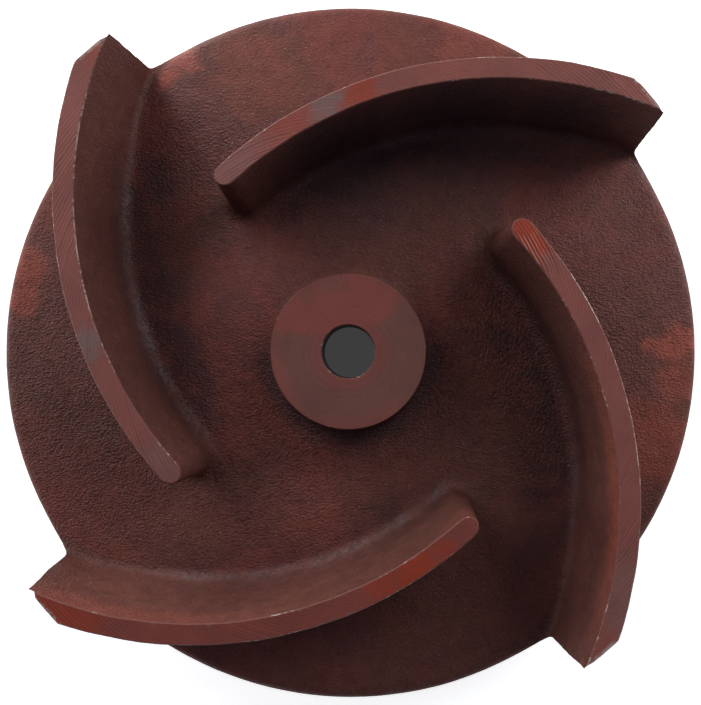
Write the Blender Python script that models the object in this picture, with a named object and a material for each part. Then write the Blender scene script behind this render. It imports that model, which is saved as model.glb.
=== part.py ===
# Semi-open pump impeller: one grey iron casting, turned on its outside diameter, its vane tops,
# its two hub faces and its bore.
# It has one back shroud, a central hub and four backward-curved vanes that stand on the shroud.
# The origin is on the bore's axis in the rear hub face, and +Z points to the suction side.

import math

import bmesh
import bpy
from mathutils import Matrix

# Turned outside, in metres
OUTER_RADIUS = 0.100
VANE_TOP_Z = 0.053
MACHINING_ALLOWANCE = 0.002

# Back shroud: a dished disc, thin at the rim and thicker towards the hub
SHROUD_BACK_Z = 0.012
RIM_THICKNESS = 0.007
SHROUD_RISE = 0.004
RIM_CHAMFER = 0.001

# Hub nose in front of the shroud and hub boss behind it
HUB_FACE_RADIUS = 0.0208
HUB_FACE_Z = 0.040
HUB_DRAFT_DEG = 3.0
HUB_FILLET = 0.006
HUB_EDGE = 0.0005
BOSS_RADIUS = 0.024
BOSS_FILLET = 0.004
BOSS_EDGE = 0.001

# Bore for a 25 mm keyed shaft, and the smaller hole for the bolt that holds the impeller on it
SHAFT_BORE_RADIUS = 0.0125
SHAFT_BORE_DEPTH = 0.025
BORE_CHAMFER = 0.001
BOLT_HOLE_RADIUS = 0.0071
BOLT_HOLE_EDGE = 0.0004
KEYWAY_WIDTH = 0.008
KEYWAY_DEPTH = 0.0033

# Vanes: each follows one circular arc, and its faces lean outwards towards the foot
VANE_COUNT = 4
VANE_ARC_CENTRE = (0.039, -0.032)
VANE_ARC_RADIUS = 0.10335
VANE_THICKNESS = 0.0055
VANE_NOSE_DEG = 132.5
VANE_END_DEG = 55.0
CONCAVE_DRAFT_DEG = 5.2
CONCAVE_DRAFT_AT_RIM_DEG = 2.2
DRAFT_FADE_START = 0.090
CONVEX_DRAFT_DEG = 2.0
NOSE_DRAFT_DEG = 2.5
VANE_FILLET = 0.0035
VANE_FILLET_AT_RIM = 0.001
FILLET_FADE_START = 0.080
VANE_ROOT_DEPTH = 0.0015
ROOT_FLARE_SHARE = 0.9

# Fineness of the round forms
TURNED_SEGMENTS = 96
VANE_ARC_STEPS = 24
NOSE_STEPS = 6
HUB_FILLET_STEPS = 4
BOSS_FILLET_STEPS = 3
VANE_FILLET_ANGLES_DEG = (72.0, 50.0, 25.0, 0.0)
SHARP_ANGLE_DEG = 35.0

# Finish of the primed iron
PRIMER_COLOUR = (0.085, 0.030, 0.024, 1.0)
PRIMER_ROUGHNESS = 0.72
PRIMER_METALLIC = 0.0


def clear_scene():
    for old in list(bpy.data.objects):
        bpy.data.objects.remove(old, do_unlink=True)


def shroud_front_z(radius):
    """Height of the shroud's front face, a shallow cone that rises from the rim to the hub."""
    inward = (OUTER_RADIUS - radius) / (OUTER_RADIUS - HUB_FACE_RADIUS)
    return SHROUD_BACK_Z + RIM_THICKNESS + SHROUD_RISE * inward


def object_from_bmesh(name, form):
    bmesh.ops.recalc_face_normals(form, faces=form.faces)
    mesh = bpy.data.meshes.new(name)
    form.to_mesh(mesh)
    form.free()
    made = bpy.data.objects.new(name, mesh)
    bpy.context.scene.collection.objects.link(made)
    return made


def turned_object(name, profile):
    """Spin a closed outline of (radius, height) points about the bore's axis."""
    form = bmesh.new()
    corners = [form.verts.new((radius, 0.0, height)) for radius, height in profile]
    edges = []
    for here, after in zip(corners, corners[1:] + corners[:1]):
        edges.append(form.edges.new((here, after)))
    bmesh.ops.spin(
        form,
        geom=corners + edges,
        cent=(0.0, 0.0, 0.0),
        axis=(0.0, 0.0, 1.0),
        angle=2.0 * math.pi,
        steps=TURNED_SEGMENTS,
        use_merge=True,
    )
    bmesh.ops.remove_doubles(form, verts=form.verts, dist=1e-6)
    return object_from_bmesh(name, form)


def fillet_arc(centre, radius, start_deg, end_deg, steps):
    """Points of a round in the (radius, height) plane, ends included."""
    points = []
    for step in range(steps + 1):
        angle = math.radians(start_deg + (end_deg - start_deg) * step / steps)
        points.append((centre[0] + radius * math.cos(angle), centre[1] + radius * math.sin(angle)))
    return points


def shroud_and_hub_profile():
    """Half section of the disc, hub nose, rear boss and stepped bore, from the bolt hole outwards."""
    raw_radius = OUTER_RADIUS + MACHINING_ALLOWANCE
    edge_radius = OUTER_RADIUS - RIM_CHAMFER
    chamfer_fall = raw_radius - edge_radius

    hub_height = HUB_FACE_Z - shroud_front_z(HUB_FACE_RADIUS)
    hub_foot = HUB_FACE_RADIUS + hub_height * math.tan(math.radians(HUB_DRAFT_DEG))
    hub_round = (hub_foot + HUB_FILLET, shroud_front_z(hub_foot + HUB_FILLET) + HUB_FILLET)
    boss_round = (BOSS_RADIUS + BOSS_FILLET, SHROUD_BACK_Z - BOSS_FILLET)

    front = [
        (BOLT_HOLE_RADIUS + BOLT_HOLE_EDGE, HUB_FACE_Z),
        (HUB_FACE_RADIUS - HUB_EDGE, HUB_FACE_Z),
        (HUB_FACE_RADIUS, HUB_FACE_Z - HUB_EDGE),
    ]
    front += fillet_arc(hub_round, HUB_FILLET, 180.0 + HUB_DRAFT_DEG, 270.0, HUB_FILLET_STEPS)
    front.append((edge_radius, shroud_front_z(edge_radius)))
    front.append((raw_radius, shroud_front_z(edge_radius) - chamfer_fall))

    back = [
        (raw_radius, SHROUD_BACK_Z + chamfer_fall),
        (edge_radius, SHROUD_BACK_Z),
    ]
    back += fillet_arc(boss_round, BOSS_FILLET, 90.0, 180.0, BOSS_FILLET_STEPS)
    back += [
        (BOSS_RADIUS, BOSS_EDGE),
        (BOSS_RADIUS - BOSS_EDGE, 0.0),
        (SHAFT_BORE_RADIUS + BORE_CHAMFER, 0.0),
        (SHAFT_BORE_RADIUS, BORE_CHAMFER),
        (SHAFT_BORE_RADIUS, SHAFT_BORE_DEPTH),
        (BOLT_HOLE_RADIUS, SHAFT_BORE_DEPTH),
        (BOLT_HOLE_RADIUS, HUB_FACE_Z - BOLT_HOLE_EDGE),
    ]
    return front + back


def fade_to_rim(inside, at_rim, from_axis, start):
    """A measure that keeps one value inside the start radius and changes evenly to another at the rim."""
    outward = (from_axis - start) / (OUTER_RADIUS - start)
    return inside + (at_rim - inside) * min(max(outward, 0.0), 1.0)


def arc_point(radius, angle):
    x = VANE_ARC_CENTRE[0] + radius * math.cos(angle)
    y = VANE_ARC_CENTRE[1] + radius * math.sin(angle)
    return x, y


def vane_top_outline():
    """Outline of a vane's finished top: each point with its outward direction and its draft in degrees."""
    half = VANE_THICKNESS / 2.0
    nose = math.radians(VANE_NOSE_DEG)
    nose_centre = arc_point(VANE_ARC_RADIUS, nose)
    spread = [step / VANE_ARC_STEPS for step in range(VANE_ARC_STEPS + 1)]
    outline = []
    for share in spread:
        angle = math.radians(VANE_END_DEG + (VANE_NOSE_DEG - VANE_END_DEG) * share)
        away = (math.cos(angle), math.sin(angle))
        outline.append((arc_point(VANE_ARC_RADIUS + half, angle), away, CONVEX_DRAFT_DEG))
    for step in range(1, NOSE_STEPS):
        turn = math.pi * step / NOSE_STEPS
        away = (math.cos(nose + turn), math.sin(nose + turn))
        side_draft = CONVEX_DRAFT_DEG if turn < math.pi / 2.0 else CONCAVE_DRAFT_DEG
        draft = NOSE_DRAFT_DEG + (side_draft - NOSE_DRAFT_DEG) * abs(math.cos(turn))
        point = (nose_centre[0] + half * away[0], nose_centre[1] + half * away[1])
        outline.append((point, away, draft))
    for share in reversed(spread):
        angle = math.radians(VANE_END_DEG + (VANE_NOSE_DEG - VANE_END_DEG) * share)
        away = (-math.cos(angle), -math.sin(angle))
        point = arc_point(VANE_ARC_RADIUS - half, angle)
        from_axis = math.hypot(*point)
        draft = fade_to_rim(CONCAVE_DRAFT_DEG, CONCAVE_DRAFT_AT_RIM_DEG, from_axis, DRAFT_FADE_START)
        outline.append((point, away, draft))
    return outline


def vane_level(height_share, flare_share, sink):
    """One ring of the vane's foot, given in shares of the foot's round, lowered by sink."""
    ring = []
    for (x, y), away, draft_deg in vane_top_outline():
        from_axis = math.hypot(x, y)
        rounding = fade_to_rim(VANE_FILLET, VANE_FILLET_AT_RIM, from_axis, FILLET_FADE_START)
        height = rounding * height_share - sink
        drop = VANE_TOP_Z - shroud_front_z(from_axis) - height
        growth = drop * math.tan(math.radians(draft_deg)) + rounding * flare_share
        x += away[0] * growth
        y += away[1] * growth
        ring.append((x, y, shroud_front_z(math.hypot(x, y)) + height))
    return ring


def vane_rings():
    """Rings from the root inside the shroud, up the round of the foot, to the top as cast."""
    rings = [vane_level(0.0, ROOT_FLARE_SHARE, VANE_ROOT_DEPTH)]
    for angle_deg in VANE_FILLET_ANGLES_DEG:
        angle = math.radians(angle_deg)
        rings.append(vane_level(1.0 - math.sin(angle), 1.0 - math.cos(angle), 0.0))
    top = []
    for (x, y), away, draft_deg in vane_top_outline():
        narrowing = MACHINING_ALLOWANCE * math.tan(math.radians(draft_deg))
        top.append((x - away[0] * narrowing, y - away[1] * narrowing, VANE_TOP_Z + MACHINING_ALLOWANCE))
    rings.append(top)
    return rings


def cast_vane(name, turn):
    """One vane as cast: longer and taller than finished, with its root inside the shroud."""
    form = bmesh.new()
    rings = [[form.verts.new(point) for point in ring] for ring in vane_rings()]
    for lower, upper in zip(rings, rings[1:]):
        for here in range(len(lower)):
            after = (here + 1) % len(lower)
            form.faces.new((lower[here], lower[after], upper[after], upper[here]))
    form.faces.new(rings[0])
    form.faces.new(rings[-1])
    bmesh.ops.triangulate(form, faces=[face for face in form.faces if len(face.verts) > 4])
    bmesh.ops.rotate(form, verts=form.verts, cent=(0.0, 0.0, 0.0), matrix=Matrix.Rotation(turn, 3, "Z"))
    return object_from_bmesh(name, form)


def turned_envelope():
    """The room that turning the outside diameter and facing the vane tops leaves."""
    form = bmesh.new()
    low_z = -MACHINING_ALLOWANCE
    bmesh.ops.create_cone(
        form,
        cap_ends=True,
        segments=TURNED_SEGMENTS,
        radius1=OUTER_RADIUS,
        radius2=OUTER_RADIUS,
        depth=VANE_TOP_Z - low_z,
        matrix=Matrix.Translation((0.0, 0.0, (VANE_TOP_Z + low_z) / 2.0)),
    )
    return object_from_bmesh("turned_envelope", form)


def keyway_cutter():
    """Broach for the key's slot, from the rear face to the end of the shaft's bore."""
    form = bmesh.new()
    low_z = -MACHINING_ALLOWANCE
    reach = SHAFT_BORE_RADIUS + KEYWAY_DEPTH
    size = Matrix.Diagonal((KEYWAY_WIDTH, reach, SHAFT_BORE_DEPTH - low_z, 1.0))
    place = Matrix.Translation((0.0, reach / 2.0, (SHAFT_BORE_DEPTH + low_z) / 2.0))
    bmesh.ops.create_cube(form, size=1.0, matrix=place @ size)
    return object_from_bmesh("keyway_cutter", form)


def combine(base, tool, operation):
    """Add an exact Boolean to the base and turn the tool into an unseen guide."""
    step = base.modifiers.new(tool.name, "BOOLEAN")
    step.operation = operation
    step.solver = "EXACT"
    step.object = tool
    tool.hide_render = True
    tool.display_type = "WIRE"


def primed_iron():
    finish = bpy.data.materials.new("primed_iron")
    finish.use_nodes = True
    shader = finish.node_tree.nodes["Principled BSDF"]
    shader.inputs["Base Color"].default_value = PRIMER_COLOUR
    shader.inputs["Roughness"].default_value = PRIMER_ROUGHNESS
    shader.inputs["Metallic"].default_value = PRIMER_METALLIC
    finish.diffuse_color = PRIMER_COLOUR
    return finish


def impeller_casting():
    """Join the vanes to the shroud and hub as one casting, then turn and key it."""
    casting = turned_object("impeller_casting", shroud_and_hub_profile())
    for index in range(VANE_COUNT):
        vane = cast_vane(f"vane_{index + 1}", 2.0 * math.pi * index / VANE_COUNT)
        combine(casting, vane, "UNION")
    combine(casting, turned_envelope(), "INTERSECT")
    combine(casting, keyway_cutter(), "DIFFERENCE")
    casting.data.shade_smooth()
    casting.data.set_sharp_from_angle(angle=math.radians(SHARP_ANGLE_DEG))
    casting.data.materials.append(primed_iron())
    return casting


clear_scene()
impeller_casting()
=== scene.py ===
import math

import bmesh
import bpy
from mathutils import Matrix, Vector


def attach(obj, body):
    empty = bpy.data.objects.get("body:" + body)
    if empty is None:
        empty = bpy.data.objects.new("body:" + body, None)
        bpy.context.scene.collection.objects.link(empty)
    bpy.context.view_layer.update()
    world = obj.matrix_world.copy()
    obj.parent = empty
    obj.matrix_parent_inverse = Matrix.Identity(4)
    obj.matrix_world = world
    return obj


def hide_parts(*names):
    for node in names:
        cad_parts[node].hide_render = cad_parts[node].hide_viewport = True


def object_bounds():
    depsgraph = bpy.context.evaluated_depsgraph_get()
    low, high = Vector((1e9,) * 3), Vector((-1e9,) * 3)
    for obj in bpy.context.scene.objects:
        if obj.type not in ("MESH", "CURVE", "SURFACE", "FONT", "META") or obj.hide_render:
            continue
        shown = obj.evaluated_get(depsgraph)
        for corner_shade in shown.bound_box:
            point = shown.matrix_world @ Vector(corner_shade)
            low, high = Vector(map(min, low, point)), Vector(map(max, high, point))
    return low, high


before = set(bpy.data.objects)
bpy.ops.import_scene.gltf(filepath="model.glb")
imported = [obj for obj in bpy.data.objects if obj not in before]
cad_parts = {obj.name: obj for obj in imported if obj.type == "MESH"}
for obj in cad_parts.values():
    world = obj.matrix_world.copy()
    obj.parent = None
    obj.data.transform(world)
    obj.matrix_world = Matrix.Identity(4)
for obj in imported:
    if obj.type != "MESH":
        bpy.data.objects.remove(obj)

cad_low, cad_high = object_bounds()

# Back shroud and hub
# A grey iron disc, a little thicker towards the middle, with the hub nose in front and a boss behind.
# It is poured in one with the vanes, and each face that the lathe will cut still stands 2 mm proud.
RAW_METAL = 0.002
RIM_RADIUS = (cad_high.x - cad_low.x) / 2
SHROUD_BACK = 0.012
RIM_FRONT = 0.019
SHROUD_RISE = 0.004
RIM_CORNER = 0.001
HUB_RADIUS = 0.0208
HUB_FACE = 0.040
HUB_DRAFT = math.tan(math.radians(3.0))
HUB_ROUND = 0.0054
BOSS_RADIUS = 0.024
BOSS_ROUND = 0.004
CAST_SEGMENTS = 128
SPECK = 1e-5


def pick(kind, wanted):
    """Select only the points, edges or faces of the mesh in edit mode that pass the test."""
    bpy.ops.mesh.select_mode(type=kind)
    bpy.ops.mesh.select_all(action="DESELECT")
    mesh = bpy.context.object.data
    form = bmesh.from_edit_mesh(mesh)
    if kind == "VERT":
        for point in form.verts:
            point.select_set(wanted(point.co))
    elif kind == "EDGE":
        for edge in form.edges:
            edge.select_set(wanted(*(point.co for point in edge.verts)))
    else:
        for face in form.faces:
            face.select_set(wanted(face.calc_center_median(), face.normal))
    bmesh.update_edit_mesh(mesh)


def from_axis(spot):
    return math.hypot(spot.x, spot.y)


def is_ring(radius, height):
    """A test for the edges that lie on one circle about the bore's axis."""
    def wanted(start, end):
        level = max(abs(start.z - height), abs(end.z - height)) < SPECK
        return level and max(abs(from_axis(start) - radius), abs(from_axis(end) - radius)) < SPECK
    return wanted


def start_piece(name):
    """Name the primitive just added, keep its place in its mesh and open it in edit mode."""
    bpy.ops.object.transform_apply(location=True, rotation=True, scale=True)
    made = bpy.context.object
    made.name = made.data.name = name
    bpy.ops.object.mode_set(mode="EDIT")
    return made


def extrude(rise):
    bpy.ops.mesh.extrude_region_move(TRANSFORM_OT_translate={"value": (0.0, 0.0, rise)})


bpy.ops.object.select_all(action="DESELECT")
bpy.ops.mesh.primitive_cylinder_add(
    vertices=CAST_SEGMENTS,
    radius=RIM_RADIUS + RAW_METAL,
    depth=RIM_FRONT - SHROUD_BACK,
    location=(0.0, 0.0, (RIM_FRONT + SHROUD_BACK) / 2),
)
casting = start_piece("impeller")
pick("EDGE", lambda start, end: abs(start.z - end.z) < SPECK)
bpy.ops.mesh.bevel(offset=RAW_METAL + RIM_CORNER, segments=1)
flat_radius = RIM_RADIUS - RIM_CORNER

hub_foot = HUB_RADIUS + (HUB_FACE - RIM_FRONT - SHROUD_RISE) * HUB_DRAFT
hub_top = HUB_RADIUS - RAW_METAL * HUB_DRAFT
pick("FACE", lambda spot, way: way.z > 0.9 and spot.z > RIM_FRONT - SPECK)
bpy.ops.mesh.inset(thickness=flat_radius - hub_foot, depth=SHROUD_RISE)
extrude(HUB_FACE + RAW_METAL - RIM_FRONT - SHROUD_RISE)
bpy.ops.transform.resize(value=(hub_top / hub_foot, hub_top / hub_foot, 1.0), center_override=(0.0, 0.0, HUB_FACE))
pick("EDGE", is_ring(hub_foot, RIM_FRONT + SHROUD_RISE))
bpy.ops.mesh.bevel(offset=HUB_ROUND, segments=8)

pick("FACE", lambda spot, way: way.z < -0.9 and spot.z < SHROUD_BACK + SPECK)
bpy.ops.mesh.inset(thickness=flat_radius - BOSS_RADIUS)
extrude(-SHROUD_BACK - RAW_METAL)
pick("EDGE", is_ring(BOSS_RADIUS, SHROUD_BACK))
bpy.ops.mesh.bevel(offset=BOSS_ROUND, segments=6)
bpy.ops.object.mode_set(mode="OBJECT")

# Vanes
# Four iron blades that stand on the shroud and sweep back along one arc. Each is shaped here as a straight
# bar with a round nose, moulder's draft and a rounded foot, faired down to the rim, and is then bent to its arc.
VANE_TOP = cad_high.z
VANE_COUNT = 4
ARC_CENTRE = (0.039, -0.032)
ARC_RADIUS = 0.10335
VANE_THICKNESS = 0.0055
NOSE_ANGLE = math.radians(132.5)
TIP_ANGLE = math.radians(55.0)
CONCAVE_DRAFT = math.tan(math.radians(5.2))
CONCAVE_DRAFT_AT_RIM = math.tan(math.radians(2.2))
CONVEX_DRAFT = math.tan(math.radians(2.0))
NOSE_DRAFT = math.tan(math.radians(2.5))
FOOT_ROUND = 0.0035
FOOT_ROUND_AT_RIM = 0.0010
DRAFT_FADES_FROM = 0.090
ROUND_FADES_FROM = 0.080
ROOT_DEPTH = 0.003
NOSE_SEAM = 0.0001
STATIONS = 32
QUARTER_TURN = math.radians(90.0)
bar_length = (NOSE_ANGLE - TIP_ANGLE) * ARC_RADIUS
vane_height = VANE_TOP - RIM_FRONT
foot_concave = VANE_THICKNESS / 2 + vane_height * CONCAVE_DRAFT
foot_convex = VANE_THICKNESS / 2 + vane_height * CONVEX_DRAFT
foot_width = foot_concave + foot_convex
raw_top_width = VANE_THICKNESS - RAW_METAL * (CONCAVE_DRAFT + CONVEX_DRAFT)
foot_nose = bar_length + VANE_THICKNESS / 2 + vane_height * NOSE_DRAFT


def fade(inside, at_rim, start, radius):
    """A measure that holds from the hub to the start radius and then changes evenly to the rim."""
    share = min(max((radius - start) / (RIM_RADIUS - start), 0.0), 1.0)
    return inside + (at_rim - inside) * share


def station_radius(along):
    """Distance from the bore's axis at which a place along the straight bar ends up."""
    angle = TIP_ANGLE + along / ARC_RADIUS
    x = ARC_CENTRE[0] + ARC_RADIUS * math.cos(angle)
    y = ARC_CENTRE[1] + ARC_RADIUS * math.sin(angle)
    return math.hypot(x, y)


bpy.ops.object.select_all(action="DESELECT")
slab_length = foot_nose + FOOT_ROUND
slab_width = foot_width + 2 * FOOT_ROUND
middle_y = (foot_concave - foot_convex) / 2
bpy.ops.mesh.primitive_cube_add(
    size=1.0,
    location=(slab_length / 2, middle_y, RIM_FRONT - ROOT_DEPTH / 2),
    scale=(slab_length, slab_width, ROOT_DEPTH),
)
vane = start_piece("vane")
pick("EDGE", lambda start, end: min(start.x, end.x) > slab_length - SPECK and abs(start.y - end.y) < SPECK)
bpy.ops.mesh.bevel(offset=slab_width * 0.499, segments=8)
pick("VERT", lambda spot: spot.x > slab_length - SPECK)
bpy.ops.mesh.remove_doubles(threshold=NOSE_SEAM)
pick("FACE", lambda spot, way: way.z > 0.9)
bpy.ops.mesh.inset(thickness=FOOT_ROUND)
extrude(vane_height + RAW_METAL)

narrowing = raw_top_width / foot_width
raw_concave = VANE_THICKNESS / 2 - RAW_METAL * CONCAVE_DRAFT
fixed_y = (raw_concave - foot_concave * narrowing) / (1.0 - narrowing)
bpy.ops.transform.resize(value=(1.0, narrowing, 1.0), center_override=(0.0, fixed_y, 0.0))
nose_start = foot_nose - foot_width / 2
raw_nose = bar_length + VANE_THICKNESS / 2 - RAW_METAL * NOSE_DRAFT
fixed_x = (raw_nose - foot_nose * narrowing) / (1.0 - narrowing)
pick("VERT", lambda spot: spot.z > VANE_TOP and spot.x > nose_start - SPECK)
bpy.ops.transform.resize(value=(narrowing, 1.0, 1.0), center_override=(fixed_x, 0.0, 0.0))


def on_foot_line(start, end):
    """The edges where the bar's walls meet the flat ledge around its foot."""
    for spot in (start, end):
        inside = abs(spot.y - middle_y) < foot_width / 2 + SPECK and spot.x < foot_nose + SPECK
        if abs(spot.z - RIM_FRONT) > SPECK or not inside:
            return False
    return True


pick("EDGE", on_foot_line)
bpy.ops.mesh.bevel(offset=FOOT_ROUND * 0.93, segments=6)
pick("EDGE", lambda start, end: abs(start.x - end.x) > bar_length / 2)
bpy.ops.mesh.subdivide(number_cuts=STATIONS - 1)

spacing = nose_start / STATIONS
for station in range(STATIONS + 4):
    along = station * spacing
    radius = station_radius(along)
    shrink = fade(FOOT_ROUND, FOOT_ROUND_AT_RIM, ROUND_FADES_FROM, radius) / FOOT_ROUND
    pull_in = (fade(CONCAVE_DRAFT, CONCAVE_DRAFT_AT_RIM, DRAFT_FADES_FROM, radius) - CONCAVE_DRAFT) * vane_height
    lift = SHROUD_RISE * (RIM_RADIUS - radius) / (RIM_RADIUS - HUB_RADIUS)
    for side, wall, shift in ((1, foot_concave, pull_in), (-1, -foot_convex, 0.0)):
        pick("VERT", lambda spot: abs(spot.x - along) <= spacing / 2 and (spot.y - middle_y) * side > 0
             and RIM_FRONT - SPECK < spot.z < RIM_FRONT + FOOT_ROUND)
        bpy.ops.transform.resize(value=(1.0, shrink, shrink), center_override=(along, wall, RIM_FRONT))
        bpy.ops.transform.translate(value=(0.0, shift, lift))
bpy.ops.object.mode_set(mode="OBJECT")


def apply_all(piece):
    bpy.ops.object.select_all(action="DESELECT")
    piece.select_set(True)
    bpy.context.view_layer.objects.active = piece
    for step in list(piece.modifiers):
        bpy.ops.object.modifier_apply(modifier=step.name)


bend = vane.modifiers.new("bend", "SIMPLE_DEFORM")
bend.deform_method = "BEND"
bend.deform_axis = "Z"
bend.angle = vane.dimensions.x / ARC_RADIUS
apply_all(vane)
bpy.ops.object.mode_set(mode="EDIT")
bpy.ops.mesh.select_all(action="SELECT")
bpy.ops.transform.translate(value=(ARC_CENTRE[0], ARC_CENTRE[1] - ARC_RADIUS, 0.0))
bpy.ops.transform.rotate(
    value=-(TIP_ANGLE + QUARTER_TURN), orient_axis="Z", center_override=(ARC_CENTRE[0], ARC_CENTRE[1], 0.0)
)
for turn in range(1, VANE_COUNT):
    bpy.ops.mesh.duplicate()
    bpy.ops.transform.rotate(value=-QUARTER_TURN, orient_axis="Z", center_override=(0.0, 0.0, 0.0))
bpy.ops.mesh.select_all(action="SELECT")
bpy.ops.mesh.normals_make_consistent(inside=False)
bpy.ops.object.mode_set(mode="OBJECT")
casting.select_set(True)
bpy.context.view_layer.objects.active = casting
bpy.ops.object.join()

# Cast skin
# The sand mould leaves the iron slightly uneven, so the joined blank is remeshed as one closed skin,
# its inner corners are eased, and soft lumps and shallow dents are raised on it.
SKIN_GRID = 0.0011
BACK_SHARE = 0.20
LUMPS = (("swell", 0.016, 0.00030), ("ripple", 0.0060, 0.00013), ("grit", 0.0028, 0.00012))
skin = casting.modifiers.new("skin", "REMESH")
skin.mode = "VOXEL"
skin.voxel_size = SKIN_GRID
ease = casting.modifiers.new("ease", "SMOOTH")
ease.factor = 0.5
ease.iterations = 3
for name, size, height in LUMPS:
    pattern = bpy.data.textures.new(name, "CLOUDS")
    pattern.noise_scale = size
    pattern.noise_depth = 1
    raise_skin = casting.modifiers.new(name, "DISPLACE")
    raise_skin.texture = pattern
    raise_skin.texture_coords = "LOCAL"
    raise_skin.strength = height
    raise_skin.mid_level = 0.5
apply_all(casting)
bpy.ops.object.mode_set(mode="EDIT")
pick("VERT", lambda spot: spot.z < SHROUD_BACK + RIM_CORNER and from_axis(spot) < RIM_RADIUS - RIM_CORNER)
bpy.ops.mesh.decimate(ratio=BACK_SHARE)
bpy.ops.object.mode_set(mode="OBJECT")

# Turned faces
# The lathe faces the vane tops and both ends of the hub, turns the outside diameter and bores the hub.
# What it leaves is one solid of revolution, and the blank is cut to it; the keyway is broached after.
TURNED_SEGMENTS = 384
EDGE_BREAK = 0.00028
CRUMB = 0.00032
FLAT_ANGLE = math.radians(1.0)
WELL_RADIUS = 0.029
BOSS_EDGE = 0.001
SHAFT_BORE = 0.0125
SHAFT_BORE_DEPTH = 0.025
BORE_CHAMFER = 0.001
BOLT_HOLE = 0.0071
KEYWAY_WIDTH = 0.008
KEYWAY_DEPTH = 0.0033
turned_radius = RIM_RADIUS - SPECK
turned_top = VANE_TOP - EDGE_BREAK - SPECK
hub_slope = 3 * EDGE_BREAK
hub_ledge = HUB_FACE - hub_slope
hub_flat = HUB_RADIUS - EDGE_BREAK
boss_slope = 2 * BOSS_EDGE
boss_flat = BOSS_RADIUS - BOSS_EDGE
bpy.ops.object.select_all(action="DESELECT")
bpy.ops.mesh.primitive_cylinder_add(
    vertices=TURNED_SEGMENTS,
    radius=turned_radius,
    depth=turned_top - boss_slope,
    location=(0.0, 0.0, (turned_top + boss_slope) / 2),
)
envelope = start_piece("envelope")
pick("FACE", lambda spot, way: way.z > 0.9)
bpy.ops.mesh.inset(thickness=turned_radius - WELL_RADIUS)
extrude(hub_ledge - turned_top)
bpy.ops.mesh.inset(thickness=WELL_RADIUS - hub_flat - hub_slope)
bpy.ops.mesh.inset(thickness=hub_slope, depth=hub_slope)
bpy.ops.mesh.inset(thickness=hub_flat - BOLT_HOLE - EDGE_BREAK)
bpy.ops.mesh.inset(thickness=EDGE_BREAK, depth=-EDGE_BREAK)
extrude(SHAFT_BORE_DEPTH + EDGE_BREAK - HUB_FACE)
bpy.ops.mesh.delete(type="FACE")
pick("FACE", lambda spot, way: way.z < -0.9)
bpy.ops.mesh.inset(thickness=turned_radius - boss_flat - boss_slope)
bpy.ops.mesh.inset(thickness=boss_slope, depth=boss_slope - SPECK)
bpy.ops.mesh.inset(thickness=boss_flat - SHAFT_BORE - BORE_CHAMFER)
bpy.ops.mesh.inset(thickness=BORE_CHAMFER, depth=-BORE_CHAMFER)
extrude(SHAFT_BORE_DEPTH - BORE_CHAMFER - SPECK)
bpy.ops.mesh.inset(thickness=SHAFT_BORE - BOLT_HOLE)
bpy.ops.mesh.delete(type="FACE")
pick("EDGE", is_ring(BOLT_HOLE, SHAFT_BORE_DEPTH))
bpy.ops.mesh.remove_doubles(threshold=SPECK)
bpy.ops.mesh.select_all(action="SELECT")
bpy.ops.mesh.normals_make_consistent(inside=False)
bpy.ops.object.mode_set(mode="OBJECT")

bpy.ops.object.select_all(action="DESELECT")
key_reach = SHAFT_BORE + KEYWAY_DEPTH
bpy.ops.mesh.primitive_cube_add(
    size=1.0,
    location=(0.0, key_reach / 2, SHAFT_BORE_DEPTH / 2 - RAW_METAL),
    scale=(KEYWAY_WIDTH, key_reach, SHAFT_BORE_DEPTH + RAW_METAL),
)
broach = start_piece("broach")
bpy.ops.object.mode_set(mode="OBJECT")

for cutter, kind in ((envelope, "INTERSECT"), (broach, "DIFFERENCE")):
    cut = casting.modifiers.new(kind, "BOOLEAN")
    cut.operation = kind
    cut.object = cutter
    cut.solver = "EXACT"
apply_all(casting)
for cutter in (envelope, broach):
    bpy.data.objects.remove(cutter, do_unlink=True)

# Broken edges
# Each turned face meets the cast skin in a raw edge that handling has dulled. The edges are broken here by
# a narrow slope, and each kind of surface gets its own finish.
SKIN, TURNED, EDGE, BORE = range(4)
for number in range(4):
    casting.data.materials.append(None)


def finish_with(number):
    casting.active_material_index = number
    bpy.ops.object.material_slot_assign()


def turned_face(spot, way):
    """The outside diameter, the hub's front face and the boss's rear face."""
    outside = abs(from_axis(spot) - turned_radius) < EDGE_BREAK and abs(way.z) < 0.01
    front = abs(spot.z - HUB_FACE) < SPECK and from_axis(spot) < HUB_RADIUS and way.z > 0.99
    return outside or front or (spot.z < 2 * SPECK and way.z < -0.99)


def turned_slope(spot, way):
    """The narrow slopes around the hub's front face and the boss's rear face."""
    front = spot.z > hub_ledge and from_axis(spot) < HUB_RADIUS + hub_slope
    return (front or spot.z < boss_slope) and 0.6 < abs(way.z) < 0.8


def bored_face(spot, way):
    wall = from_axis(spot) < SHAFT_BORE + KEYWAY_DEPTH and abs(way.z) < 0.5 and spot.z < hub_ledge
    return wall or (way.z < -0.9 and from_axis(spot) < SHAFT_BORE and spot.z > SHAFT_BORE_DEPTH - RAW_METAL)


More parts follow.
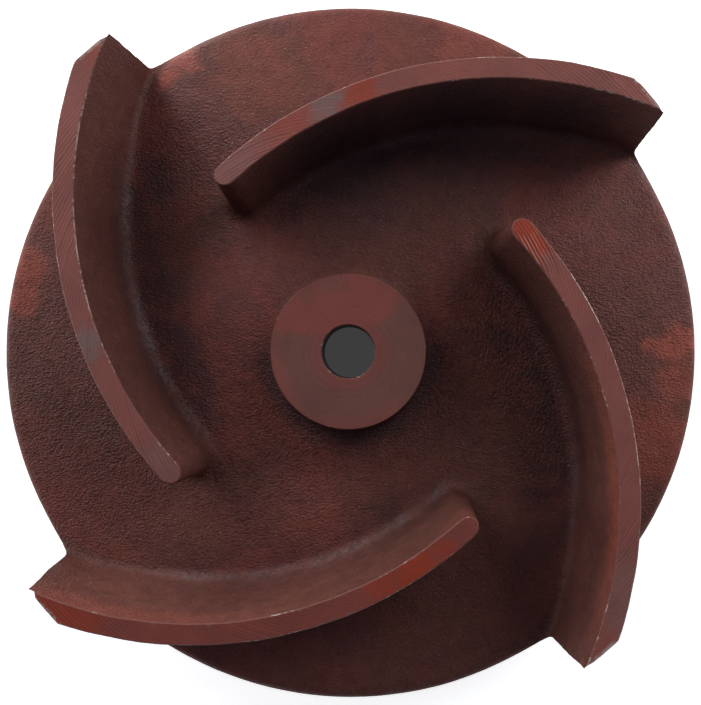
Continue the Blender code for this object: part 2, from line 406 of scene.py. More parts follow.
bpy.ops.object.mode_set(mode="EDIT")
bpy.ops.mesh.select_all(action="SELECT")
bpy.ops.mesh.remove_doubles(threshold=4 * SPECK)
for faces, number in ((turned_face, TURNED), (turned_slope, EDGE), (bored_face, BORE)):
    pick("FACE", faces)
    finish_with(number)
pick("FACE", lambda spot, way: way.z > 0.99 and spot.z > turned_top - SPECK)
bpy.ops.mesh.dissolve_limited(angle_limit=FLAT_ANGLE)
pick("VERT", lambda spot: spot.z > turned_top - SPECK and from_axis(spot) < turned_radius - CRUMB)
bpy.ops.mesh.vertices_smooth(factor=0.5, repeat=2, zaxis=False)
pick("VERT", lambda spot: spot.z > turned_top - SPECK)
bpy.ops.mesh.remove_doubles(threshold=CRUMB)
pick("VERT", lambda spot: spot.z > turned_top - SPECK and from_axis(spot) > turned_radius - 3 * CRUMB)
bpy.ops.mesh.remove_doubles(threshold=3 * CRUMB)
pick("FACE", lambda spot, way: way.z > 0.99 and spot.z > turned_top - SPECK)
finish_with(EDGE)
bpy.ops.mesh.inset(thickness=EDGE_BREAK, depth=EDGE_BREAK)
finish_with(TURNED)
bpy.ops.mesh.select_all(action="DESELECT")
bpy.ops.object.mode_set(mode="OBJECT")
bpy.ops.object.shade_smooth_by_angle(angle=math.radians(35.0))

# Primed cast skin
# Red oxide primer sprayed thinly on sand-cast iron: matt, browner where it is thin, orange where it lies
# thick or has rusted through, over the grains of the sand mould, about a millimetre each. Painted shade darkens
# the corners at the vane feet and below the hub, one vane wall, set spots and the hollows between grains;
# painted light brightens other spots and two vanes' upper walls, with painted sheen and glints besides.
PRIMER = (0.188, 0.048, 0.0355, 1.0)
PRIMER_BROWN = (0.146, 0.047, 0.0345, 1.0)
PRIMER_PURPLE = (0.142, 0.043, 0.041, 1.0)
PRIMER_LIGHT = (0.330, 0.076, 0.048, 1.0)
PRIMER_ORANGE = (0.300, 0.060, 0.032, 1.0)
WALL_BROWN = (0.124, 0.043, 0.033, 1.0)
WALL_TAN = (0.158, 0.056, 0.043, 1.0)
# Dark soot for random clouds on the outside diameter, also used as painted shade in corners and on one vane wall.
SOOT_AND_PAINTED_SHADE = (0.060, 0.024, 0.026, 1.0)
# Painted sheen for the vane feet.
PAINTED_FOOT_SHEEN = (0.150, 0.098, 0.098, 1.0)
GLINT = (0.34, 0.20, 0.15, 1.0)
PRIMER_GLOSS = 0.3
CLOUD_SIZE = 0.035
BLOT_SIZE = 0.009
MOTTLE_SIZE = 0.0035
GRAIN_SIZE = 0.00068
SAND_SIZE = 0.00060
GRAIN_HEIGHT = 0.00016
SMOOTH_HEIGHT = 0.00008
GRAIN_STRETCH = (0.80, 1.15, 1.0)
ROUGH_PLACES = (
    ((-0.080, -0.020, 0.020), 0.070, 0.6),
    ((0.045, 0.000, 0.020), 0.045, 1.3),
    ((-0.025, -0.025, 0.020), 0.045, 1.2),
    ((-0.045, 0.050, 0.020), 0.030, 0.7),
    ((0.080, 0.010, 0.020), 0.045, 0.4),
)
SKIN_STAINS = (
    ((-0.0545, 0.0800, 0.020), 0.005, 0.90),
    ((-0.0480, 0.0845, 0.020), 0.005, 0.70),
    ((-0.0941, 0.0255, 0.020), 0.007, 0.75),
    ((-0.0941, 0.0165, 0.020), 0.006, 0.75),
    ((0.0359, 0.0895, 0.020), 0.012, 0.35),
    ((-0.0280, 0.0800, 0.020), 0.014, 0.35),
    ((0.0950, 0.0030, 0.020), 0.007, 0.90),
    ((0.0890, 0.0015, 0.020), 0.004, 0.80),
    ((0.0850, 0.0010, 0.020), 0.002, 0.80),
    ((0.0940, -0.0090, 0.020), 0.007, 0.55),
    ((0.0849, -0.0252, 0.020), 0.014, 0.75),
    ((-0.0700, -0.0610, 0.051), 0.010, 0.60),
)
# Painted light: spots of lighter primer on the shroud below and left of the hub.
PAINTED_LIGHT_PLACES = (
    ((-0.0350, -0.0190, 0.020), 0.020, 0.40),
    ((-0.0200, -0.0450, 0.020), 0.025, 0.15),
)
# Painted shade: spots of darker primer on the shroud.
PAINTED_SHADE_PLACES = (
    ((-0.0720, -0.0220, 0.020), 0.024, 0.25),
    ((-0.0350, 0.0700, 0.020), 0.026, 0.20),
    ((0.0250, 0.0350, 0.020), 0.022, 0.10),
)
LOWER_LEFT = (((-0.035, -0.060, 0.034), 0.055, 1.0),)
# Painted light: the upper walls of the right and lower left vanes, where low lamps reach only the upper parts.
LIT_UPPER_WALLS = (
    ((0.064, -0.035, 0.049), 0.045, 0.5),
    ((-0.060, -0.066, 0.049), 0.045, 0.35),
)
# Painted shade on the concave wall of the upper right vane, which faces away from the lamps.
PAINTED_SHADE_WALL = (
    ((0.000, 0.050, 0.036), 0.024, 0.95),
    ((0.030, 0.063, 0.036), 0.024, 0.95),
    ((0.058, 0.062, 0.036), 0.020, 0.90),
)


def add(tree, kind, sockets=None, **settings):
    """Add a shader node, make its settings, and fill its sockets with values or with other nodes' outputs."""
    made = tree.nodes.new("ShaderNode" + kind)
    for name, value in settings.items():
        setattr(made, name, value)
    for name, value in (sockets or {}).items():
        if isinstance(value, bpy.types.NodeSocket):
            tree.links.new(value, made.inputs[name])
        else:
            made.inputs[name].default_value = value
    return made


def new_finish(name):
    """An empty finish: its node tree, its shader and the place on the piece in metres."""
    finish = bpy.data.materials.new(name)
    finish.use_nodes = True
    tree = finish.node_tree
    shader = tree.nodes["Principled BSDF"]
    place = add(tree, "TexCoord").outputs["Object"]
    return finish, tree, shader, place


def number(tree, operation, *values):
    """The result of one sum on numbers."""
    return add(tree, "Math", dict(enumerate(values)), operation=operation).outputs[0]


def distance(tree, place, spot):
    """How far the place is from a spot, in metres."""
    return add(tree, "VectorMath", {0: place, 1: spot}, operation="DISTANCE").outputs["Value"]


def grain(tree, place, size, detail=2.0, roughness=0.5):
    """Even noise from 0 to 1 with features of a given size in metres."""
    sockets = {"Vector": place, "Scale": 1.0 / size, "Detail": detail, "Roughness": roughness}
    return add(tree, "TexNoise", sockets).outputs["Fac"]


def ramp(tree, value, low, high, start=0.0, end=1.0):
    """Change smoothly from start to end as the value goes from low to high."""
    sockets = {"Value": value, "From Min": low, "From Max": high, "To Min": start, "To Max": end}
    return add(tree, "MapRange", sockets, interpolation_type="SMOOTHSTEP").outputs["Result"]


def blend(tree, share, first, second):
    """Mix two colours, with more of the second as the share grows."""
    return add(tree, "Mix", {0: share, 6: first, 7: second}, data_type="RGBA").outputs[2]


def shade(tree, brightness, colour):
    """Make a colour darker or lighter: 1 leaves it as it is."""
    return add(tree, "HueSaturation", {"Value": brightness, "Color": colour}).outputs["Color"]


def stir(tree, place, size, reach, detail=1.0):
    """The place moved about by noise, so that what is drawn on it comes out wavy or frayed."""
    sockets = {"Vector": place, "Scale": 1.0 / size, "Detail": detail, "Roughness": 0.6}
    swirl = add(tree, "TexNoise", sockets).outputs["Color"]
    swirl = add(tree, "VectorMath", {0: swirl, 1: (0.5, 0.5, 0.5)}, operation="SUBTRACT").outputs[0]
    return add(tree, "VectorMath", {0: swirl, 1: (reach,) * 3, 2: place}, operation="MULTIPLY_ADD").outputs[0]


def blotches(tree, place, spots, softness=0.7):
    """Round patches, each a spot, a reach and a strength: 0 outside them. They give stains and also painted light and
    shade.
    """
    cover = 0.0
    for spot, reach, strength in spots:
        inner = (1.2 - softness) * reach
        stain = ramp(tree, distance(tree, place, spot), inner, 1.2 * reach, strength, 0.0)
        cover = number(tree, "MAXIMUM", cover, stain)
    return cover


def around_vanes(tree, place, inner, outer, fade_width, turns=range(VANE_COUNT)):
    """1 between two distances from a vane's arc centre, 0 away from the vanes, which are numbered clockwise."""
    flat = add(tree, "VectorMath", {0: place, 1: (1.0, 1.0, 0.0)}, operation="MULTIPLY").outputs["Vector"]
    cover = 0.0
    for turn in turns:
        centre = Vector((*ARC_CENTRE, 0.0))
        middle = Vector((math.cos((NOSE_ANGLE + TIP_ANGLE) / 2), math.sin((NOSE_ANGLE + TIP_ANGLE) / 2), 0.0))
        turned = Matrix.Rotation(-turn * QUARTER_TURN, 3, "Z")
        centre.rotate(turned)
        middle.rotate(turned)
        out = distance(tree, flat, centre)
        offset = add(tree, "VectorMath", {0: flat, 1: centre}, operation="SUBTRACT").outputs["Vector"]
        ahead = add(tree, "VectorMath", {0: offset, 1: middle}, operation="DOT_PRODUCT").outputs["Value"]
        beside = ramp(tree, ahead, 0.070, 0.078)
        rising = ramp(tree, out, inner - fade_width, inner + fade_width)
        falling = ramp(tree, out, outer - fade_width, outer + fade_width, 1.0, 0.0)
        near = number(tree, "MULTIPLY", number(tree, "MULTIPLY", rising, falling), beside)
        cover = number(tree, "MAXIMUM", cover, near)
    return cover


def raise_surface(tree, shader, relief, depth):
    """Let the light see a relief too fine for the mesh: its shape, and its depth in metres."""
    raised = add(tree, "Bump", {"Height": relief, "Distance": depth})
    tree.links.new(raised.outputs["Normal"], shader.inputs["Normal"])


def cast_finish():
    finish, tree, shader, place = new_finish("primed_cast_skin")
    sand = grain(tree, place, SAND_SIZE, 1.0)
    blots = grain(tree, place, BLOT_SIZE, 3.0)
    cell_place = add(tree, "VectorMath", {0: place, 1: GRAIN_STRETCH}, operation="MULTIPLY").outputs["Vector"]
    cell_place = stir(tree, cell_place, GRAIN_SIZE, GRAIN_SIZE)
    cells = add(tree, "TexVoronoi", {"Vector": cell_place, "Scale": 1.0 / GRAIN_SIZE}).outputs
    crown = ramp(tree, cells["Distance"], 0.15, 0.80, 1.0, 0.0)
    lot = add(tree, "SeparateColor", {0: cells["Color"]}).outputs[0]
    torn = stir(tree, place, 0.006, 0.012, 3.0)
    parts = add(tree, "SeparateXYZ", {0: place}).outputs
    height = parts["Z"]
    flat = add(tree, "VectorMath", {0: place, 1: (1.0, 1.0, 0.0)}, operation="MULTIPLY").outputs["Vector"]
    radius = distance(tree, flat, (0.0, 0.0, 0.0))
    low_down = ramp(tree, height, 0.027, 0.031, 1.0, 0.0)
    lower_left = blotches(tree, place, LOWER_LEFT, 1.0)
    # Painted shade on one vane wall.
    wall_shade = blotches(tree, torn, PAINTED_SHADE_WALL, 1.0)

    colour = blend(tree, ramp(tree, grain(tree, place, CLOUD_SIZE, 3.0), 0.36, 0.62), PRIMER, PRIMER_BROWN)
    colour = blend(tree, ramp(tree, blots, 0.46, 0.66, 0.0, 0.5), colour, PRIMER_PURPLE)
    colour = blend(tree, blotches(tree, torn, SKIN_STAINS), colour, PRIMER_LIGHT)
    wall = blend(tree, lower_left, WALL_BROWN, WALL_TAN)
    on_wall = number(tree, "MAXIMUM", ramp(tree, height, 0.0235, 0.028), around_vanes(tree, place, 0.0960, 0.1085, 0.0012))
    colour = blend(tree, number(tree, "MULTIPLY", on_wall, 0.9), colour, wall)
    # Painted light on the upper walls of two vanes.
    lit_upper = number(tree, "MULTIPLY", ramp(tree, height, 0.042, 0.050), blotches(tree, torn, LIT_UPPER_WALLS, 1.1))
    colour = blend(tree, lit_upper, colour, PRIMER_LIGHT)
    colour = blend(tree, ramp(tree, grain(tree, place, 0.0017), 0.66, 0.74, 0.0, 0.4), colour, PRIMER_ORANGE)
    # Painted shade: darker primer on the shroud beside the concave vane feet and round the hub's foot below the hub,
    # inside the vanes' inner reach, joined with the shade on one vane wall.
    corner_shade = number(tree, "MAXIMUM", around_vanes(tree, place, 0.0870, 0.0955, 0.0035, (0, 2)),
                    around_vanes(tree, place, 0.0820, 0.0990, 0.0060, (1, 3)))
    corner_shade = number(tree, "MULTIPLY", corner_shade, low_down)
    corner_shade = number(tree, "MULTIPLY", corner_shade, ramp(tree, blots, 0.35, 0.60, 0.35, 0.75))
    corner_shade = number(tree, "MULTIPLY", corner_shade, number(tree, "MULTIPLY_ADD", lower_left, -0.4, 1.0))
    below_hub = ramp(tree, parts["Y"], -0.004, 0.008, 0.85, 0.0)
    hub_corner = ramp(tree, radius, HUB_RADIUS + 0.002, HUB_RADIUS + 0.009, 1.0, 0.0)
    corner_shade = number(tree, "MAXIMUM", corner_shade, number(tree, "MULTIPLY", hub_corner, below_hub))
    inside = ramp(tree, radius, 0.076, 0.090, 1.0, 0.0)
    corner_shade = number(tree, "MAXIMUM", number(tree, "MULTIPLY", corner_shade, inside), wall_shade)
    colour = blend(tree, corner_shade, colour, SOOT_AND_PAINTED_SHADE)
    # Painted sheen: a greyish band along the foot rounds of the lower left and upper left vanes' concave walls.
    foot_sheen = number(tree, "MULTIPLY", around_vanes(tree, place, 0.0950, 0.0978, 0.0010, (2, 3)), low_down)
    foot_sheen = number(tree, "MULTIPLY", number(tree, "MULTIPLY", foot_sheen, inside), ramp(tree, blots, 0.35, 0.60, 0.15, 0.7))
    foot_sheen = number(tree, "MULTIPLY", foot_sheen, ramp(tree, grain(tree, place, 0.0013), 0.40, 0.62, 0.15, 1.0))
    colour = blend(tree, foot_sheen, colour, PAINTED_FOOT_SHEEN)
    mottle = ramp(tree, grain(tree, place, MOTTLE_SIZE, 4.0), 0.3, 0.7, -0.10, 0.10)
    mottle = number(tree, "MULTIPLY", mottle, number(tree, "MULTIPLY_ADD", on_wall, 0.3, 1.0))
    colour = shade(tree, number(tree, "ADD", mottle, 1.0), colour)
    # Painted light and shade: the shroud lightened and darkened in set spots.
    light_and_shade = number(tree, "SUBTRACT", blotches(tree, place, PAINTED_LIGHT_PLACES, 1.1), blotches(tree, place, PAINTED_SHADE_PLACES, 1.1))
    colour = shade(tree, number(tree, "ADD", light_and_shade, 1.0), colour)
    rough = blotches(tree, place, ROUGH_PLACES, 1.0)
    # Painted shade in the hollows between sand grains, deeper in the rough places.
    pit_shade = number(tree, "MULTIPLY", ramp(tree, crown, 0.0, 0.6, 1.0, 0.0), ramp(tree, lot, 0.25, 0.55))
    pit_shade = number(tree, "MULTIPLY", pit_shade, number(tree, "MULTIPLY_ADD", rough, -0.16, -0.24))
    colour = shade(tree, number(tree, "ADD", pit_shade, 1.06), colour)
    # Painted glints: a few grain crowns made lighter.
    painted_glints = number(tree, "MULTIPLY", ramp(tree, crown, 0.70, 0.95), ramp(tree, lot, 0.92, 0.97, 0.0, 0.4))
    colour = blend(tree, painted_glints, colour, GLINT)
    tree.links.new(colour, shader.inputs["Base Color"])
    tree.links.new(ramp(tree, blots, 0.3, 0.7, 0.62, 0.48), shader.inputs["Roughness"])
    shader.inputs["Specular IOR Level"].default_value = PRIMER_GLOSS
    rough = number(tree, "MULTIPLY_ADD", rough, GRAIN_HEIGHT, SMOOTH_HEIGHT)
    bump = number(tree, "MULTIPLY", crown, number(tree, "MULTIPLY_ADD", lot, 0.8, 0.5))
    raise_surface(tree, shader, number(tree, "MULTIPLY_ADD", sand, 0.8, bump), rough)
    return finish


casting.data.materials[SKIN] = cast_finish()

# Turned and primed faces
# The vane tops, both hub faces and the outside diameter, turned and then primed thinly. The lathe's feed
# shows through as fine rings about the bore's axis, and the coat is worn to grey or gone orange in places.
HUB_RED = (0.246, 0.064, 0.052, 1.0)
HUB_BROWN = (0.180, 0.070, 0.055, 1.0)
TOP_PINK = (0.258, 0.080, 0.065, 1.0)
TOP_RED = (0.240, 0.060, 0.046, 1.0)
TOP_ORANGE = (0.340, 0.044, 0.018, 1.0)
SCRATCHED = (0.500, 0.300, 0.210, 1.0)
WORN_GREY = (0.190, 0.140, 0.128, 1.0)
BARE_IRON = (0.400, 0.290, 0.245, 1.0)
WORN_RIM = 0.0987
FEED = 0.00083
FEED_DEPTH = 0.000018
CONCAVE_EDGE = ARC_RADIUS - VANE_THICKNESS / 2
CONVEX_EDGE = ARC_RADIUS + VANE_THICKNESS / 2
TOP_STAINS = (
    ((0.0425, 0.0310, 0.053), 0.012, 1.0),
    ((0.0172, -0.0550, 0.053), 0.006, 1.0),
    ((0.0090, -0.0590, 0.053), 0.005, 0.7),
    ((0.0250, -0.0500, 0.053), 0.004, 0.7),
    ((0.0039, 0.0651, 0.053), 0.0050, 0.8),
    ((-0.0142, 0.0576, 0.053), 0.007, 0.35),
    ((-0.0730, -0.0640, 0.053), 0.014, 0.7),
    ((-0.0620, 0.0750, 0.053), 0.004, 0.5),
)
WORN_PLACES = (
    ((-0.0054, 0.0625, 0.053), 0.0055, 0.75),
    ((-0.0657, 0.0020, 0.053), 0.0050, 0.80),
    ((-0.0300, 0.0450, 0.053), 0.0120, 0.30),
    ((-0.0460, -0.0300, 0.053), 0.0090, 0.30),
    ((0.0720, -0.0620, 0.053), 0.0120, 0.35),
)
GROOVED_PLACES = (
    ((-0.0680, 0.0400, 0.053), 0.036, 0.60),
    ((-0.0500, -0.0200, 0.053), 0.030, 0.30),
    ((-0.0240, 0.0510, 0.053), 0.024, 0.55),
    ((0.0620, 0.0660, 0.053), 0.022, 0.6),
    ((0.0450, 0.0260, 0.053), 0.013, 1.0),
    ((0.0700, -0.0450, 0.053), 0.030, 0.30),
    ((-0.0660, -0.0660, 0.053), 0.024, 0.4),
    ((-0.0200, -0.0680, 0.053), 0.026, 0.3),
)
SCRATCHED_PLACES = (
    ((0.0470, 0.0255, 0.053), 0.012, 1.0),
    ((0.0760, 0.0630, 0.053), 0.008, 1.0),
)
HUB_SMOKE = (
    ((-0.0050, 0.0190, 0.040), 0.0060, 0.7),
    ((-0.0110, 0.0160, 0.040), 0.0045, 0.5),
)


def turned_finish():
    finish, tree, shader, place = new_finish("primed_turned_face")
    parts = add(tree, "SeparateXYZ", {0: place}).outputs
    flat = add(tree, "VectorMath", {0: place, 1: (1.0, 1.0, 0.0)}, operation="MULTIPLY").outputs["Vector"]
    radius = distance(tree, flat, (0.0, 0.0, 0.0))
    on_top = ramp(tree, radius, 0.024, 0.027)
    cloud = grain(tree, place, 0.012, 4.0)
    fine = grain(tree, place, 0.0006, 3.0)
    torn = stir(tree, place, 0.004, 0.010, 4.0)

    feed_path = number(tree, "ADD", radius, parts["Z"])
    wander = number(tree, "MULTIPLY_ADD", grain(tree, place, 0.006), 0.0009, feed_path)
    even = number(tree, "SINE", number(tree, "MULTIPLY", wander, 2.0 * math.pi / FEED))
    even = number(tree, "MULTIPLY", even, ramp(tree, on_top, 0.0, 1.0, 0.2, 0.6))
    uneven = grain(tree, add(tree, "CombineXYZ", {0: wander}).outputs[0], 0.0009, 2.0)
    rings = number(tree, "MULTIPLY_ADD", number(tree, "SUBTRACT", uneven, 0.5), 3.0, even)
    deep = number(tree, "MAXIMUM", blotches(tree, place, GROOVED_PLACES, 1.1), 0.15)
    patchy = number(tree, "MULTIPLY", deep, ramp(tree, grain(tree, place, 0.004, 3.0), 0.35, 0.65, 0.4, 1.0))
    grooves = number(tree, "MULTIPLY", rings, patchy)
    streaks = ramp(tree, uneven, 0.35, 0.60, 0.65, 1.0)

    low = ramp(tree, parts["Y"], -0.034, -0.028, 1.0, 0.0)
    lower_left = number(tree, "MULTIPLY", low, ramp(tree, parts["X"], 0.036, 0.042, 1.0, 0.0))
    wobble = number(tree, "MULTIPLY_ADD", cloud, 0.006, -0.003)
    across = number(tree, "MULTIPLY_ADD", parts["X"], -0.69, number(tree, "MULTIPLY", parts["Y"], 0.72))
    above = ramp(tree, number(tree, "MULTIPLY_ADD", wobble, 0.3, parts["Y"]), 0.0040, 0.0056)
    beside = ramp(tree, number(tree, "ADD", across, wobble), -0.0015, 0.0025)
    red = number(tree, "MULTIPLY", above, beside)
    smoke = blotches(tree, place, HUB_SMOKE, 1.15)
    red = number(tree, "MULTIPLY", red, number(tree, "SUBTRACT", 1.0, smoke))
    around_hole = ramp(tree, number(tree, "ADD", radius, wobble), 0.0085, 0.0120, 0.6, 0.0)
    rim_side = number(tree, "MULTIPLY_ADD", parts["X"], -0.5, number(tree, "MULTIPLY", parts["Y"], -0.85))
    at_rim = ramp(tree, number(tree, "ADD", radius, wobble), 0.0165, 0.0205, 0.0, 0.6)
    at_rim = number(tree, "MULTIPLY", at_rim, ramp(tree, rim_side, 0.0, 0.012))
    red = number(tree, "MAXIMUM", red, number(tree, "MAXIMUM", around_hole, at_rim))
    hub = blend(tree, red, HUB_BROWN, HUB_RED)
    top = blend(tree, lower_left, TOP_PINK, TOP_RED)
    colour = blend(tree, on_top, hub, top)
    colour = blend(tree, number(tree, "MULTIPLY", blotches(tree, torn, TOP_STAINS), streaks), colour, TOP_ORANGE)
    colour = blend(tree, number(tree, "MULTIPLY", blotches(tree, torn, WORN_PLACES, 0.8), streaks), colour, WORN_GREY)
    middle = around_vanes(tree, place, CONCAVE_EDGE + 0.0008, CONVEX_EDGE - 0.0008, 0.0006)
    rubbed = number(tree, "MULTIPLY_ADD", middle, -0.12, grain(tree, place, 0.0028, 3.0))
    rubbed = number(tree, "MULTIPLY", ramp(tree, rubbed, 0.60, 0.68, 0.0, 0.6), on_top)
    colour = blend(tree, rubbed, colour, WORN_GREY)
    colour = shade(tree, ramp(tree, cloud, 0.3, 0.7, 0.90, 1.10), colour)
    colour = shade(tree, ramp(tree, grooves, -0.9, 0.9, 0.45, 1.50), colour)
    colour = shade(tree, ramp(tree, fine, 0.3, 0.7, 0.94, 1.06), colour)
    crest = number(tree, "MULTIPLY", ramp(tree, grooves, 0.25, 0.70), blotches(tree, torn, SCRATCHED_PLACES, 1.0))
    colour = blend(tree, number(tree, "MULTIPLY", crest, 0.8), colour, SCRATCHED)
    top_face = ramp(tree, parts["Z"], VANE_TOP - 0.0003, VANE_TOP - 0.0001)
    on_rim = ramp(tree, radius, RIM_RADIUS - 0.0004, RIM_RADIUS - 0.0002)
    rim_coat = blend(tree, ramp(tree, grain(tree, place, 0.020, 4.0), 0.42, 0.58), PRIMER, PRIMER_BROWN)
    rim_coat = blend(tree, ramp(tree, cloud, 0.56, 0.70, 0.0, 0.7), rim_coat, SOOT_AND_PAINTED_SHADE)
    rim_share = number(tree, "MULTIPLY", on_rim, number(tree, "SUBTRACT", 0.9, top_face))
    colour = blend(tree, rim_share, colour, rim_coat)
    knocks = number(tree, "MULTIPLY_ADD", grain(tree, place, 0.0100, 2.0), 0.8, grain(tree, place, 0.0010, 4.0, 0.7))
    knocks = number(tree, "MULTIPLY", ramp(tree, knocks, 0.88, 1.02), ramp(tree, radius, WORN_RIM, WORN_RIM + 0.0008))
    colour = blend(tree, number(tree, "MULTIPLY", knocks, top_face), colour, BARE_IRON)
    tree.links.new(colour, shader.inputs["Base Color"])
    tree.links.new(ramp(tree, cloud, 0.3, 0.7, 0.58, 0.46), shader.inputs["Roughness"])
    shader.inputs["Specular IOR Level"].default_value = PRIMER_GLOSS
    depth = number(tree, "MULTIPLY", patchy, FEED_DEPTH)
    raise_surface(tree, shader, number(tree, "MULTIPLY_ADD", fine, 1.5, rings), depth)
    return finish


casting.data.materials[TURNED] = turned_finish()

# Worn edges
# Where the turned faces meet the cast skin the edge is knocked and rubbed: bare iron shows there as broken
# light lines, brightest along four stretches of the vanes, and primer is left between.
EDGE_PRIMER = (0.190, 0.064, 0.050, 1.0)
BURR_REACH = 0.0010
BURRS = (
    ((0.032, 0.039), CONCAVE_EDGE, (-0.066, 0.028, 0.053), 0.040),
    ((-0.032, -0.039), CONVEX_EDGE, (0.064, -0.005, 0.053), 0.034),
    ((0.039, -0.032), CONCAVE_EDGE, (0.072, 0.064, 0.053), 0.012),
)


def edge_finish():
    finish, tree, shader, place = new_finish("worn_edge")
    flat = add(tree, "VectorMath", {0: place, 1: (1.0, 1.0, 0.0)}, operation="MULTIPLY").outputs["Vector"]
    burr = 0.0
    for (x, y), edge_radius, middle, reach in BURRS:
        off_edge = number(tree, "ABSOLUTE", number(tree, "SUBTRACT", distance(tree, flat, (x, y, 0.0)), edge_radius))
        along = ramp(tree, distance(tree, place, middle), 0.7 * reach, reach, 1.0, 0.0)
        burr = number(tree, "MULTIPLY_ADD", ramp(tree, off_edge, BURR_REACH, 2 * BURR_REACH, 1.0, 0.0), along, burr)
    burr = number(tree, "MAXIMUM", burr, ramp(tree, distance(tree, flat, (0.0, 0.0, 0.0)), WORN_RIM - 0.002, WORN_RIM))
    nicks = grain(tree, place, 0.0012, 4.0, 0.7)
    spells = grain(tree, place, 0.008, 3.0)
    rubbed = number(tree, "MULTIPLY_ADD", burr, 0.13, number(tree, "MULTIPLY_ADD", spells, 0.7, nicks))
    bare = ramp(tree, rubbed, 0.95, 1.05)
    tree.links.new(blend(tree, bare, EDGE_PRIMER, BARE_IRON), shader.inputs["Base Color"])
    tree.links.new(number(tree, "MULTIPLY", bare, 0.2), shader.inputs["Metallic"])
    tree.links.new(ramp(tree, bare, 0.0, 1.0, 0.60, 0.45), shader.inputs["Roughness"])
    shader.inputs["Specular IOR Level"].default_value = PRIMER_GLOSS
    raise_surface(tree, shader, nicks, 0.00030)
    return finish


casting.data.materials[EDGE] = edge_finish()

# Bored walls
# The shaft bore, its keyway and the bolt hole are bored or broached and only dusted with primer: dark iron
# with fine tool rings.
BORED_IRON = (0.085, 0.058, 0.052, 1.0)
BORED_DUST = (0.115, 0.050, 0.042, 1.0)
BORE_FEED = 0.0005
BORE_RING_DEPTH = 0.000008


def bore_finish():
    finish, tree, shader, place = new_finish("bored_iron")
    height = add(tree, "SeparateXYZ", {0: place}).outputs["Z"]
    rings = number(tree, "SINE", number(tree, "MULTIPLY", height, 2.0 * math.pi / BORE_FEED))
    dust = grain(tree, place, 0.004, 4.0)
    colour = blend(tree, ramp(tree, dust, 0.4, 0.6), BORED_IRON, BORED_DUST)
    tree.links.new(shade(tree, ramp(tree, rings, -1.0, 1.0, 0.85, 1.1), colour), shader.inputs["Base Color"])
    tree.links.new(ramp(tree, dust, 0.4, 0.6, 0.38, 0.55), shader.inputs["Roughness"])
    shader.inputs["Metallic"].default_value = 0.35
    raise_surface(tree, shader, number(tree, "MULTIPLY_ADD", dust, 2.0, rings), BORE_RING_DEPTH)
    return finish


casting.data.materials[BORE] = bore_finish()
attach(casting, "root")
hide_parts("impeller_casting")

# Floor, light and camera
# A pale sheet that glows a little of its own, its glow dimmed under the hub as painted shade, a pale wall far behind,
# soft round lamps on the far side of the impeller, and the camera straight overhead as near as the photograph's was.
FLOOR_COLOUR = (0.88, 0.88, 0.88, 1.0)
FLOOR_GLOW = 0.90
HUB_GLOW = 0.05
WALL_GLOW = 1.12
STAGE_RADIUS = 3.0
SHADED_RADIUS = 0.020
SKY = (0.32, 0.62, 1.00, 1.0)
SKY_FILL = 0.08
LAMP_AIM = (0.0, 0.0, 0.03)
LAMPS = (
    ("left", 135, 30, 0.80, 0.40, 1.72),
    ("right", 45, 40, 0.80, 0.40, 1.66),
    ("left_high", 150, 52, 0.80, 0.40, 0.74),
    ("left_low", 180, 8, 0.80, 0.24, 1.28),
    ("left_near", 120, 12, 0.35, 0.16, 0.50),
    ("right_near", 30, 12, 0.35, 0.16, 0.355),
    ("right_fill", 0, 42, 0.35, 0.16, 0.052),
)
PHOTO_WIDTH = 701
FOCAL_PIXELS = 893.5
PRINCIPAL = (376.5, 364.1)
PHOTO_HEIGHT = 705
CAMERA_PLACE = (0.00753, -0.00329, 0.2775)
SENSOR_WIDTH = 36.0


def glowing(name, colour, glow):
    finish, tree, shader, place = new_finish(name)
    shader.inputs["Base Color"].default_value = colour
    shader.inputs["Roughness"].default_value = 0.9
    shader.inputs["Emission Color"].default_value = colour
    off_axis = distance(tree, place, (0.0, 0.0, 0.0))
    # Painted shade: the glow falls to HUB_GLOW under the hub, where the impeller stands over the floor.
    strength = ramp(tree, off_axis, SHADED_RADIUS, 2 * SHADED_RADIUS, HUB_GLOW, glow)
    strength = number(tree, "ADD", strength, ramp(tree, off_axis, 0.3, 0.8, 0.0, WALL_GLOW - glow))
    tree.links.new(strength, shader.inputs["Emission Strength"])
    return finish


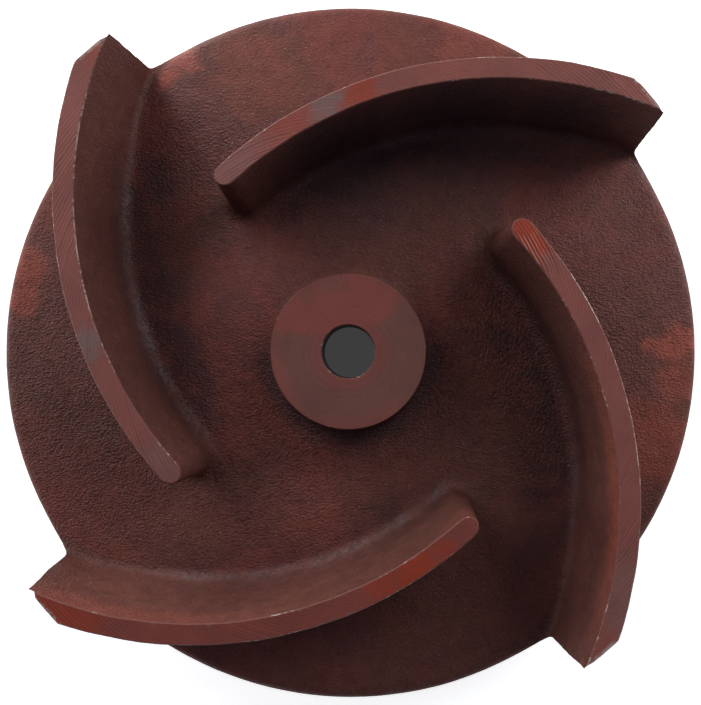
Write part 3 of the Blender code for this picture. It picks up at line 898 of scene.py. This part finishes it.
bpy.ops.object.select_all(action="DESELECT")
bpy.ops.mesh.primitive_circle_add(vertices=96, radius=STAGE_RADIUS, fill_type="NGON", location=(0.0, 0.0, -0.0002))
floor = start_piece("floor")
bpy.ops.object.mode_set(mode="OBJECT")
floor.data.materials.append(glowing("pale_sheet", FLOOR_COLOUR, FLOOR_GLOW))
bpy.ops.object.select_all(action="DESELECT")
bpy.ops.mesh.primitive_cylinder_add(
    vertices=96, radius=STAGE_RADIUS, depth=2 * STAGE_RADIUS, end_fill_type="NOTHING", location=(0.0, 0.0, STAGE_RADIUS)
)
wall = start_piece("pale_wall")
bpy.ops.object.mode_set(mode="OBJECT")
wall.data.materials.append(glowing("pale_wall", FLOOR_COLOUR, WALL_GLOW))
wall.visible_diffuse = False
wall.visible_glossy = False
wall.visible_shadow = False

world = bpy.data.worlds.new("studio")
world.use_nodes = True
world.node_tree.nodes["Background"].inputs["Color"].default_value = SKY
world.node_tree.nodes["Background"].inputs["Strength"].default_value = SKY_FILL
bpy.context.scene.world = world

for name, azimuth, elevation, away, size, power in LAMPS:
    lamp_data = bpy.data.lights.new(name, "AREA")
    lamp_data.shape = "DISK"
    lamp_data.size = size
    lamp_data.energy = power
    lamp = bpy.data.objects.new(name, lamp_data)
    flat_away = away * math.cos(math.radians(elevation))
    bearing = math.radians(azimuth)
    offset = (flat_away * math.cos(bearing), flat_away * math.sin(bearing), away * math.sin(math.radians(elevation)))
    lamp.location = Vector(LAMP_AIM) + Vector(offset)
    lamp.rotation_euler = (-Vector(offset)).to_track_quat("-Z", "Y").to_euler()
    lamp.visible_camera = False
    bpy.context.scene.collection.objects.link(lamp)

camera_data = bpy.data.cameras.new("camera")
camera_data.sensor_fit = "HORIZONTAL"
camera_data.sensor_width = SENSOR_WIDTH
camera_data.lens = FOCAL_PIXELS / PHOTO_WIDTH * SENSOR_WIDTH
camera_data.shift_x = (PHOTO_WIDTH / 2 - PRINCIPAL[0]) / PHOTO_WIDTH
camera_data.shift_y = (PRINCIPAL[1] - PHOTO_HEIGHT / 2) / PHOTO_WIDTH
camera_data.clip_start = 0.01
camera_data.clip_end = 20.0
camera = bpy.data.objects.new("camera", camera_data)
camera.location = CAMERA_PLACE
bpy.context.scene.collection.objects.link(camera)
bpy.context.scene.camera = camera
bpy.context.scene.view_settings.view_transform = "Standard"
